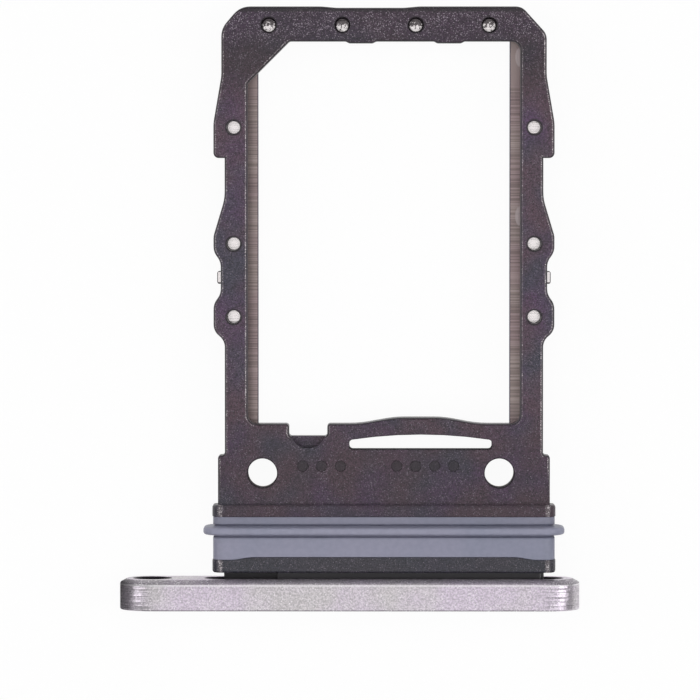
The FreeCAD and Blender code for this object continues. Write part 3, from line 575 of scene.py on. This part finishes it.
# %% [markdown]
# ## Edges that catch the light
#
# A CAD edge is perfectly sharp and shows no light. A moulded or blasted edge is round, and that is what
# draws the thin dark and bright lines along the real tray. The CAD mesh is loose triangles, so a copy of it
# is merged, its flat faces are joined, and the copy stands in for the CAD node. Two ways then make the
# edges round. The frame's long rims are chamfers in the CAD part: each is bent into a quarter round by
# arithmetic, which can't go wrong at the tight corners. The other edges get a weight each, and the Bevel
# modifier rounds them by that share of its width. For its sake a flat face with holes in it is cut along
# planes through the holes, so that no face has to wrap round one. The steel sheet keeps its sheared edges,
# so its CAD node stays.

# %% Helper: a piece that replaces a CAD node
def add_piece(name, mesh, material, node):
    """An object at the origin that shows the mesh, rides on the body and stands in for a CAD node."""
    mesh.materials.clear()
    mesh.materials.append(material)
    piece = bpy.data.objects.new(name, mesh)
    bpy.context.collection.objects.link(piece)
    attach(piece, BODY)
    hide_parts(node)
    return piece


# %% Helper: merge the triangles
X, Y, Z = 0, 1, 2
FLAT, SHARP = math.radians(0.2), math.radians(28)
MERGE_WITHIN, CUT_WITHIN = 0.0005 * MM, 0.0002 * MM


def merged_copy(name, node, cuts, seen, bend=None):
    """The node's mesh with triangles merged and flat faces joined, and cut on planes (axis, place in mm).

    seen tells at which places in mm flat faces are joined. bend may be a function that changes the merged
    shape further before it becomes a mesh.
    """
    shape = bmesh.new()
    shape.from_mesh(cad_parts[node].data)
    bmesh.ops.remove_doubles(shape, verts=shape.verts, dist=MERGE_WITHIN)
    bmesh.ops.dissolve_limit(shape, angle_limit=FLAT, verts=shape.verts, edges=shape.edges)
    for axis, place in cuts:
        normal = np.eye(3)[axis]
        spot = normal * place * MM
        everything = shape.verts[:] + shape.edges[:] + shape.faces[:]
        bmesh.ops.bisect_plane(shape, geom=everything, dist=1e-7, plane_co=spot, plane_no=normal)

    def spare(edge):
        """Whether the edge lies in a flat face that shows, and on none of the planes."""
        ends = np.array([corner.co for corner in edge.verts]) / MM
        on_plane = any(np.all(np.abs(ends[:, axis] - place) < CUT_WITHIN / MM) for axis, place in cuts)
        return edge.calc_face_angle(0) < FLAT and not on_plane and seen(*ends.mean(axis=0))

    bmesh.ops.dissolve_edges(shape, edges=[edge for edge in shape.edges if spare(edge)], use_verts=True)
    for face in shape.faces:
        face.smooth = True
    if bend:
        bend(shape)
    mesh = bpy.data.meshes.new(name)
    shape.to_mesh(mesh)
    shape.free()
    return mesh


# %% Helpers: weigh and round the edges
def read(items, label, kind, columns=1):
    """One property of all the items of a mesh as an array."""
    values = np.empty(len(items) * columns, dtype=kind)
    items.foreach_get(label, values)
    return values.reshape(-1, columns) if columns > 1 else values


def edge_facts(mesh):
    """The middle of each edge in mm, and the angle between its two faces."""
    faces = np.repeat(np.arange(len(mesh.polygons)), read(mesh.polygons, "loop_total", int))
    pairs = faces[np.argsort(read(mesh.loops, "edge_index", int), kind="stable")].reshape(-1, 2)
    first, second = read(mesh.polygons, "normal", float, 3)[pairs].transpose(1, 0, 2)
    turn = np.arccos(np.clip((first * second).sum(axis=1), -1, 1))
    ends = read(mesh.vertices, "co", float, 3)[read(mesh.edges, "vertices", int, 2)]
    return ends.mean(axis=1) / MM, turn


def round_edges(piece, width, weight):
    """A Bevel modifier that rounds each sharp edge over the width times its weight, from 0 to 1."""
    middle, turn = edge_facts(piece.data)
    share = np.where(turn > SHARP, weight(*middle.T), 0.0)
    weights = piece.data.attributes.new("bevel_weight_edge", "FLOAT", "EDGE")
    weights.data.foreach_set("value", share.astype(np.float32))
    rounding = piece.modifiers.new("rounded_edges", "BEVEL")
    rounding.limit_method, rounding.width, rounding.segments = "WEIGHT", width, 3
    rounding.use_clamp_overlap = False
    rounding.harden_normals = True
    print(piece.name, "faces", len(piece.data.polygons), "edges rounded", np.count_nonzero(share))


# %% Helper: chamfers bent into quarter rounds
BEND_STEPS = 6


def bend_chamfers(shape):
    """Bends the chamfers along the frame's rims, on its upper and under side, into quarter rounds.

    The slanted faces are cut level in steps. A point that lies a share t of the way down a chamfer of size c
    then moves out by c * (sin(turn) - t) and down by c * (1 - cos(turn) - t), where turn is t quarter turns.
    That curve leaves the flat face and meets the wall without a kink. Each point keeps t as its attribute
    `rim`, and as its attribute `side` how much it faces the lamp on the right or, less, the one on the left.
    """
    size = RIM_HIGH - RIM_LOW
    rim, facing = shape.verts.layers.float.new("rim"), shape.verts.layers.float.new("side")

    def depth(corner):
        """How far down the chamfer a corner lies, from 0 to 1."""
        return (RIM_HIGH - abs(corner.co.z) / MM) / size

    def on_chamfer(corner):
        """Whether a corner lies at a chamfer's height, and beyond the block."""
        return -0.02 < depth(corner) < 1.02 and corner.co.y > BLOCK_FAR * MM

    def slanted():
        """The faces of the chamfers."""
        return [face for face in shape.faces if 0.3 < abs(face.normal.z) < 0.95
                and all(on_chamfer(corner) for corner in face.verts)]

    for share in np.linspace(0, 1, BEND_STEPS + 1)[1:-1]:
        for side in (-1, 1):
            place = (0, 0, side * (RIM_HIGH - share * size) * MM)
            faces = slanted()
            cut = [*faces, *{part for face in faces for part in (*face.verts, *face.edges)}]
            bmesh.ops.bisect_plane(shape, geom=cut, dist=1e-8, plane_co=place, plane_no=(0, 0, 1))
    faces = set(slanted())
    for edge in shape.edges:
        level = {round(depth(corner), 2) for corner in edge.verts}
        on_rim = level in ({0.0}, {1.0}) and len(faces.intersection(edge.link_faces)) == 1
        edge.smooth = not on_rim and edge.calc_face_angle(0) < SHARP
    moves = {}
    for corner in {corner for face in faces for corner in face.verts}:
        out = sum((face.normal for face in corner.link_faces if face in faces), mathutils.Vector())
        away = mathutils.Vector((out.x, out.y, 0)).normalized()
        share = min(max(depth(corner), 0), 1)
        corner[rim], corner[facing] = share, max(away.x, -0.6 * away.x)
        turn = share * math.pi / 2
        down = mathutils.Vector((0, 0, -math.copysign(1, corner.co.z)))
        moves[corner] = (away * (math.sin(turn) - share) + down * (1 - math.cos(turn) - share)) * size * MM
    for corner, move in moves.items():
        corner.co += move
    print("chamfer faces", len(faces), "points moved", len(moves))


# %% The moulded frame
# The planes pass through the windows, holes, dots, notch and slot, or divide long faces.
FRAME_CUTS = [(X, place) for place in (TRAY_MIDDLE, -3.0, 2.47, -1.355, 3.9)]
FRAME_CUTS += [(Y, place) for place in (4.65, 6.8, *WINDOW_ROWS, END_ROW)]
FRAME_CUTS += [(Z, 0.0)]
WINDOWS = [(TRAY_MIDDLE + side * WINDOW_SIDE, row) for side in (-1, 1) for row in WINDOW_ROWS]
WINDOWS += [(END_MIDDLE + side * off, END_ROW) for side in (-1, 1) for off in END_SIDES]
JIG_HOLES = [(JIG_MIDDLE + side * JIG_SIDE, JIG_ROW) for side in (-1, 1)]


def on_view(x, y, z):
    """Whether a place in mm is on the block or on the frame's upper side, away from the steel."""
    return (y < BLOCK_FAR + 0.1) | (z > 0.2)


def near(x, y, places, radius):
    """Whether a place is within the radius of any of the places (x, y)."""
    return np.any([np.hypot(x - px, y - py) < radius for px, py in places], axis=0)


def within(x, y, box):
    """Whether a place is inside a box, which is its middle and half its size."""
    (middle_x, middle_y, _), (half_x, half_y, _) = box
    return (np.abs(x - middle_x) < half_x) & (np.abs(y - middle_y) < half_y)


def frame_weight(x, y, z):
    """1 for the rims of windows, jig holes and the leaf's slot, 0.9 for the dots, 0.8 for the block, else 0.

    The block's far edge, from which the frame goes on, gets 0.35.
    """
    rims = near(x, y, WINDOWS, 0.27) | near(x, y, JIG_HOLES, 0.5) | within(x, y, LEAF_SLOT)
    weight = np.where(within(x, y, DOTS), 0.9, np.where(rims, 1.0, 0.0)) * (z > RIM_HIGH - 0.005)
    return np.where(y < BLOCK_FAR + 0.1, np.where(y > BLOCK_FAR - 0.05, 0.35, 0.8), weight)


mesh = merged_copy("moulded_frame", "tray_body", FRAME_CUTS, on_view, bend_chamfers)
moulded = add_piece("moulded_frame", mesh, plastic, "tray_body")
round_edges(moulded, 0.030 * MM, frame_weight)

# %% The machined cap
CAP_CUTS = [(X, TRAY_MIDDLE), (X, HOLE_X), (X, 6.5), (Z, 0.0)]
mesh = merged_copy("machined_cap", "end_cap", CAP_CUTS, lambda x, y, z: True)
cap = add_piece("machined_cap", mesh, metal, "end_cap")
round_edges(cap, 0.040 * MM, lambda x, y, z: np.ones_like(x))

# %% The steel sheet
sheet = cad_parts["steel_insert"]
sheet.material_slots[0].material = steel
print(sheet.name, "shows in", steel.name)

# %% [markdown]
# ## The seal
#
# The seal is one band of silicone with a lip all round that the phone's slot presses on. It is the most
# skilled surface of the tray, so it is worked out anew: a profile in two directions, into the phone and
# outwards, is carried round a rounded rectangle. A narrow moat at each foot of the lip lets it bend, and
# shows as a dark line. Towards both ends of the tray the band widens a little.

# %% Seal: sizes
BAND_NEAR, BAND_FAR = 1.745 * MM, 3.06 * MM
LIP_NEAR, LIP_FAR, LIP_REACH = 2.46 * MM, 2.74 * MM, 0.32 * MM
BAND_HALF_WIDTH, BAND_HALF_HEIGHT, BAND_CORNER = 5.585 * MM, 0.73 * MM, 0.35 * MM
CORE_HALF_WIDTH, CORE_HALF_HEIGHT, CORE_CORNER = 5.39 * MM, 0.48 * MM, 0.13 * MM
MOAT_WIDTH, MOAT_DEPTH, LIP_POWER = 0.085 * MM, 0.10 * MM, 3.4
EDGE_ROUND = 0.03 * MM
EAR_DEPTH, EAR_FROM, EAR_TO, EAR_FADE = 0.09 * MM, 4.235 * MM, 5.035 * MM, 0.4 * MM

# %% Seal: profile
def seal_profile():
    """Points (y, out) over the seal's outer side: rounded edge, band, moat, lip, and the same in reverse.

    An edge is a quarter circle. A moat is one period of a cosine: out falls from 0 to -depth and comes back.
    The lip is half a superellipse, |y / half thickness|^power + |out / reach|^power = 1.
    """
    turn = np.linspace(0, np.pi / 2, 5)
    edge = np.stack([BAND_NEAR + EDGE_ROUND * (1 - np.cos(turn)), EDGE_ROUND * (np.sin(turn) - 1)], axis=1)
    flat = np.stack([np.linspace(BAND_NEAR + 2 * EDGE_ROUND, LIP_NEAR - MOAT_WIDTH, 8), np.zeros(8)], axis=1)
    u = np.linspace(0, 1, 11)[1:]
    moat = np.stack([LIP_NEAR - MOAT_WIDTH * (1 - u), MOAT_DEPTH * (np.cos(2 * np.pi * u) - 1) / 2], axis=1)
    angle = np.linspace(np.pi, 0, 25)[1:]
    half, power = (LIP_FAR - LIP_NEAR) / 2, 2 / LIP_POWER
    lip_y = (LIP_NEAR + LIP_FAR) / 2 + half * np.sign(np.cos(angle)) * np.abs(np.cos(angle)) ** power
    lip = np.stack([lip_y, LIP_REACH * np.abs(np.sin(angle)) ** power], axis=1)
    moat_far = moat[-2::-1] * [-1, 1] + [LIP_NEAR + LIP_FAR, 0]
    flat_y = np.linspace(LIP_FAR + MOAT_WIDTH, BAND_FAR - 2 * EDGE_ROUND, 6)
    flat_far = np.stack([flat_y, np.zeros(6)], axis=1)
    edge_far = edge[::-1] * [-1, 1] + [BAND_NEAR + BAND_FAR, 0]
    return np.concatenate([edge, flat, moat, lip, moat_far, flat_far, edge_far])


# %% Seal: path, and a mesh from a grid
def rounded_rectangle(half_width, half_height, corner):
    """Points (x, z) round a rectangle: four sides, each followed by a quarter circle of the corner's radius.

    The sizes may be arrays of one column. The result then has a row of points for each of their rows.
    """
    long_side, short_side = np.linspace(-1, 1, 120), np.linspace(-1, 1, 9)
    turn = np.linspace(0, np.pi / 2, 12)[1:-1]
    wide, high = half_width - corner, half_height - corner
    sine, cosine = corner * np.sin(turn), corner * np.cos(turn)
    x = np.concatenate([wide * long_side, wide + sine, half_width + 0 * short_side, wide + cosine], axis=-1)
    z = np.concatenate([0 * long_side - half_height, -high - cosine, high * short_side, high + sine],
                       axis=-1)
    return np.concatenate([x, -x], axis=-1), np.concatenate([z, -z], axis=-1)


def grid_mesh(name, points, close_u=False, close_v=False):
    """A mesh of four sided faces over a grid of points, shape (u, v, 3). A closed way joins up its ends."""
    rows, columns = points.shape[:2]
    u = np.arange(rows if close_u else rows - 1)[:, None]
    v = np.arange(columns if close_v else columns - 1)[None, :]
    next_u, next_v = (u + 1) % rows, (v + 1) % columns
    corners = [u * columns + v, next_u * columns + v, next_u * columns + next_v, u * columns + next_v]
    faces = np.stack([np.broadcast_to(c, (u.size, v.size)) for c in corners], axis=-1).reshape(-1, 4)
    mesh = bpy.data.meshes.new(name)
    mesh.from_pydata(points.reshape(-1, 3).tolist(), [], faces.tolist())
    mesh.update()
    return mesh


# %% Seal: surface
profile = seal_profile()
y, out = profile[:, :1], profile[:, 1:]
x, z = rounded_rectangle(BAND_HALF_WIDTH + out, BAND_HALF_HEIGHT + out, BAND_CORNER + out)
core_x, core_z = rounded_rectangle(CORE_HALF_WIDTH, CORE_HALF_HEIGHT, CORE_CORNER)
x, z = np.vstack([core_x, x, core_x]), np.vstack([core_z, z, core_z])
y = np.concatenate([y[:1], y, y[-1:]]) + 0 * x
slope = np.clip((np.abs(x) - EAR_FROM) / (EAR_TO - EAR_FROM), 0, 1)
near_edge = np.clip(1 - (y - BAND_NEAR) / EAR_FADE, 0, 1)
y = y - EAR_DEPTH * slope**2 * (3 - 2 * slope) * near_edge
seal_points = np.stack([x + TRAY_MIDDLE * MM, y, z], axis=-1)
seal_mesh = grid_mesh("silicone_seal", seal_points, close_u=True, close_v=True)
seal_mesh.shade_smooth()
seal_mesh.set_sharp_from_angle(angle=math.radians(50))
add_piece("silicone_seal", seal_mesh, rubber, "sealing_ring")
shape = bmesh.new()
shape.from_mesh(seal_mesh)
print("seal faces", len(shape.faces), "volume", round(shape.calc_volume(signed=True) / MM**3, 2), "mm3")
shape.free()

# %% [markdown]
# ## The studio
#
# The tray lies on pale paper that looks white to the camera and still keeps its shadow. A wide soft lamp
# overhead does most of the lighting. Smaller ones left and right add to the bright lines along the rims,
# which are also painted into the plastic as painted highlight, and a low one behind lights the strip of the
# cap's inner face. Grey cards stand all round: without them every edge would mirror white paper, and the
# thin dark lines of the photograph would be lost. The card in front is low, so that the cap's outer face has
# something bright to mirror. Two small dark flags beside the cap, which only mirrors see, draw the dark
# streaks in its round ends.

# %% Helpers for the studio
def show(name, mesh, material):
    """An object at the origin that shows the mesh in that material and isn't part of the tray."""
    obj = bpy.data.objects.new(name, mesh)
    mesh.materials.append(material)
    bpy.context.collection.objects.link(obj)
    return obj


def seen_directly(tree):
    """1 for what the camera sees, also in a mirror or through glass, and 0 for all other light."""
    rays = put(tree, "LightPath", (-600, 0)).outputs
    mirrored = sums(tree, (-400, 0), "MAXIMUM", rays["Is Camera Ray"], rays["Is Glossy Ray"])
    return sums(tree, (-200, 0), "MAXIMUM", mirrored, rays["Is Transmission Ray"])


# %% Floor
FLOOR_SIZE, FLOOR_BELOW, SHADOW_FREE = 3.0, 0.005 * MM, 0.94
floor_height = cad_box[0][2] - FLOOR_BELOW
side = np.array([-FLOOR_SIZE, FLOOR_SIZE])
ground = np.stack([*np.meshgrid(side, side, indexing="ij"), np.full((2, 2), floor_height)], axis=-1)

paper = bpy.data.materials.new("pale_paper")
tree = new_tree(paper)
share = sums(tree, (0, 0), "MULTIPLY", seen_directly(tree), SHADOW_FREE)
matt = put(tree, "BsdfDiffuse", (0, 200), {"Color": srgb(238, 238, 238)})
white = put(tree, "Emission", (0, -200), {"Color": (1, 1, 1, 1), "Strength": 1.0})
both = put(tree, "MixShader", (300, 0), {0: share, 1: matt.outputs[0], 2: white.outputs[0]})
clear = put(tree, "BsdfTransparent", (300, -200))
under = put(tree, "NewGeometry", (300, 300)).outputs["Backfacing"]
paper_shader = put(tree, "MixShader", (500, 0), {0: under, 1: both.outputs[0], 2: clear.outputs[0]})
put(tree, "OutputMaterial", (700, 0), {"Surface": paper_shader.outputs[0]})
show("floor", grid_mesh("floor", ground), paper)
print("floor at", round(floor_height / MM, 3), "mm")

# %% World
WORLD_STRENGTH = 0.25
world = bpy.data.worlds.new("studio")
bpy.context.scene.world = world
tree = new_tree(world)
strength = ramp(tree, (0, 0), seen_directly(tree), 0.0, 1.0, WORLD_STRENGTH, 1.0)
sky = put(tree, "Background", (300, 0), {"Color": (1, 1, 1, 1), "Strength": strength})
put(tree, "OutputWorld", (600, 0), {"Surface": sky.outputs[0]})
print("world lights at", WORLD_STRENGTH)

# %% Lamps
TRAY_CENTRE = np.array([0.0, 9.0, 0.0]) * MM


def softbox(name, toward, distance, size, radiance, shape="SQUARE"):
    """An area lamp in that direction from the tray's middle, facing it, of a given brightness per area."""
    data = bpy.data.lights.new(name, "AREA")
    data.shape, data.size = shape, size
    area = size**2 * (math.pi / 4 if shape == "DISK" else 1)
    data.energy = radiance * math.pi * area
    lamp = bpy.data.objects.new(name, data)
    toward = unit(toward)
    lamp.location = TRAY_CENTRE + toward * distance
    lamp.rotation_euler = mathutils.Vector(toward).to_track_quat("Z", "Y").to_euler()
    lamp.visible_camera = False
    bpy.context.collection.objects.link(lamp)
    print(name, round(data.energy, 2), "W")
    return lamp


overhead = softbox("overhead", (0, 0, 1), 0.45, 0.64, 1.5, shape="DISK")
overhead.visible_glossy = False
softbox("key", (1.19, 0.0, 1.0), 0.42, 0.17, 4.2)
softbox("fill", (-1.4, 0.1, 1.0), 0.42, 0.20, 2.5)
softbox("back", (0.0, 1.0, 0.1), 0.44, 0.20, 1.6)

# %% Grey cards
CARD_RADIUS = 0.5


def felt(name, share):
    """A matt grey material that throws back that share of the light."""
    material = bpy.data.materials.new(name)
    tree = new_tree(material)
    matt = put(tree, "BsdfDiffuse", (0, 0), {"Color": (share, share, share, 1)})
    put(tree, "OutputMaterial", (300, 0), {"Surface": matt.outputs[0]})
    return material


grey_card = felt("grey_card", 0.6)


def arc_card(name, from_degrees, to_degrees, height):
    """A strip of card bent round the tray: points at a radius and an angle, from the floor to a height."""
    angle = np.radians(np.linspace(from_degrees, to_degrees, 24))[:, None]
    up = np.array([floor_height, height])[None, :]
    round_x, round_y = CARD_RADIUS * np.cos(angle), CARD_RADIUS * np.sin(angle)
    points = np.stack(np.broadcast_arrays(round_x, round_y, up), axis=-1)
    show(name, grid_mesh(name, points), grey_card).visible_camera = False
    print(name, to_degrees - from_degrees, "degrees round")


arc_card("card_round", -50, 230, 0.70)
arc_card("card_front", 230, 310, 0.20)


# %% Flags
FLAG_NEAR, FLAG_FAR = -1.5, 2.5


def flag(name, share, low, high):
    """A small dark card beside an end of the cap, between two points (x, z) in mm, that only mirrors see."""
    rows = [[(x, y, z) for x, z in (low, high)] for y in (FLAG_NEAR, FLAG_FAR)]
    obj = show(name, grid_mesh(name, np.array(rows) * MM), felt(name, share))
    obj.visible_camera = obj.visible_diffuse = obj.visible_shadow = False
    print(name, "from", low, "to", high)


flag("flag_left", 0.12, (-7.65, -1.05), (-9.6, 1.75))
flag("flag_right", 0.10, (9.6, 0.30), (9.6, 1.45))

# %% [markdown]
# ## The finished size
#
# The dressed tray has to fill the box of the CAD model and no more. Rounding takes the outer edges back, and
# the new seal keeps to the room of the CAD's own.

# %% Bring the scene up to date
bpy.context.view_layer.update()
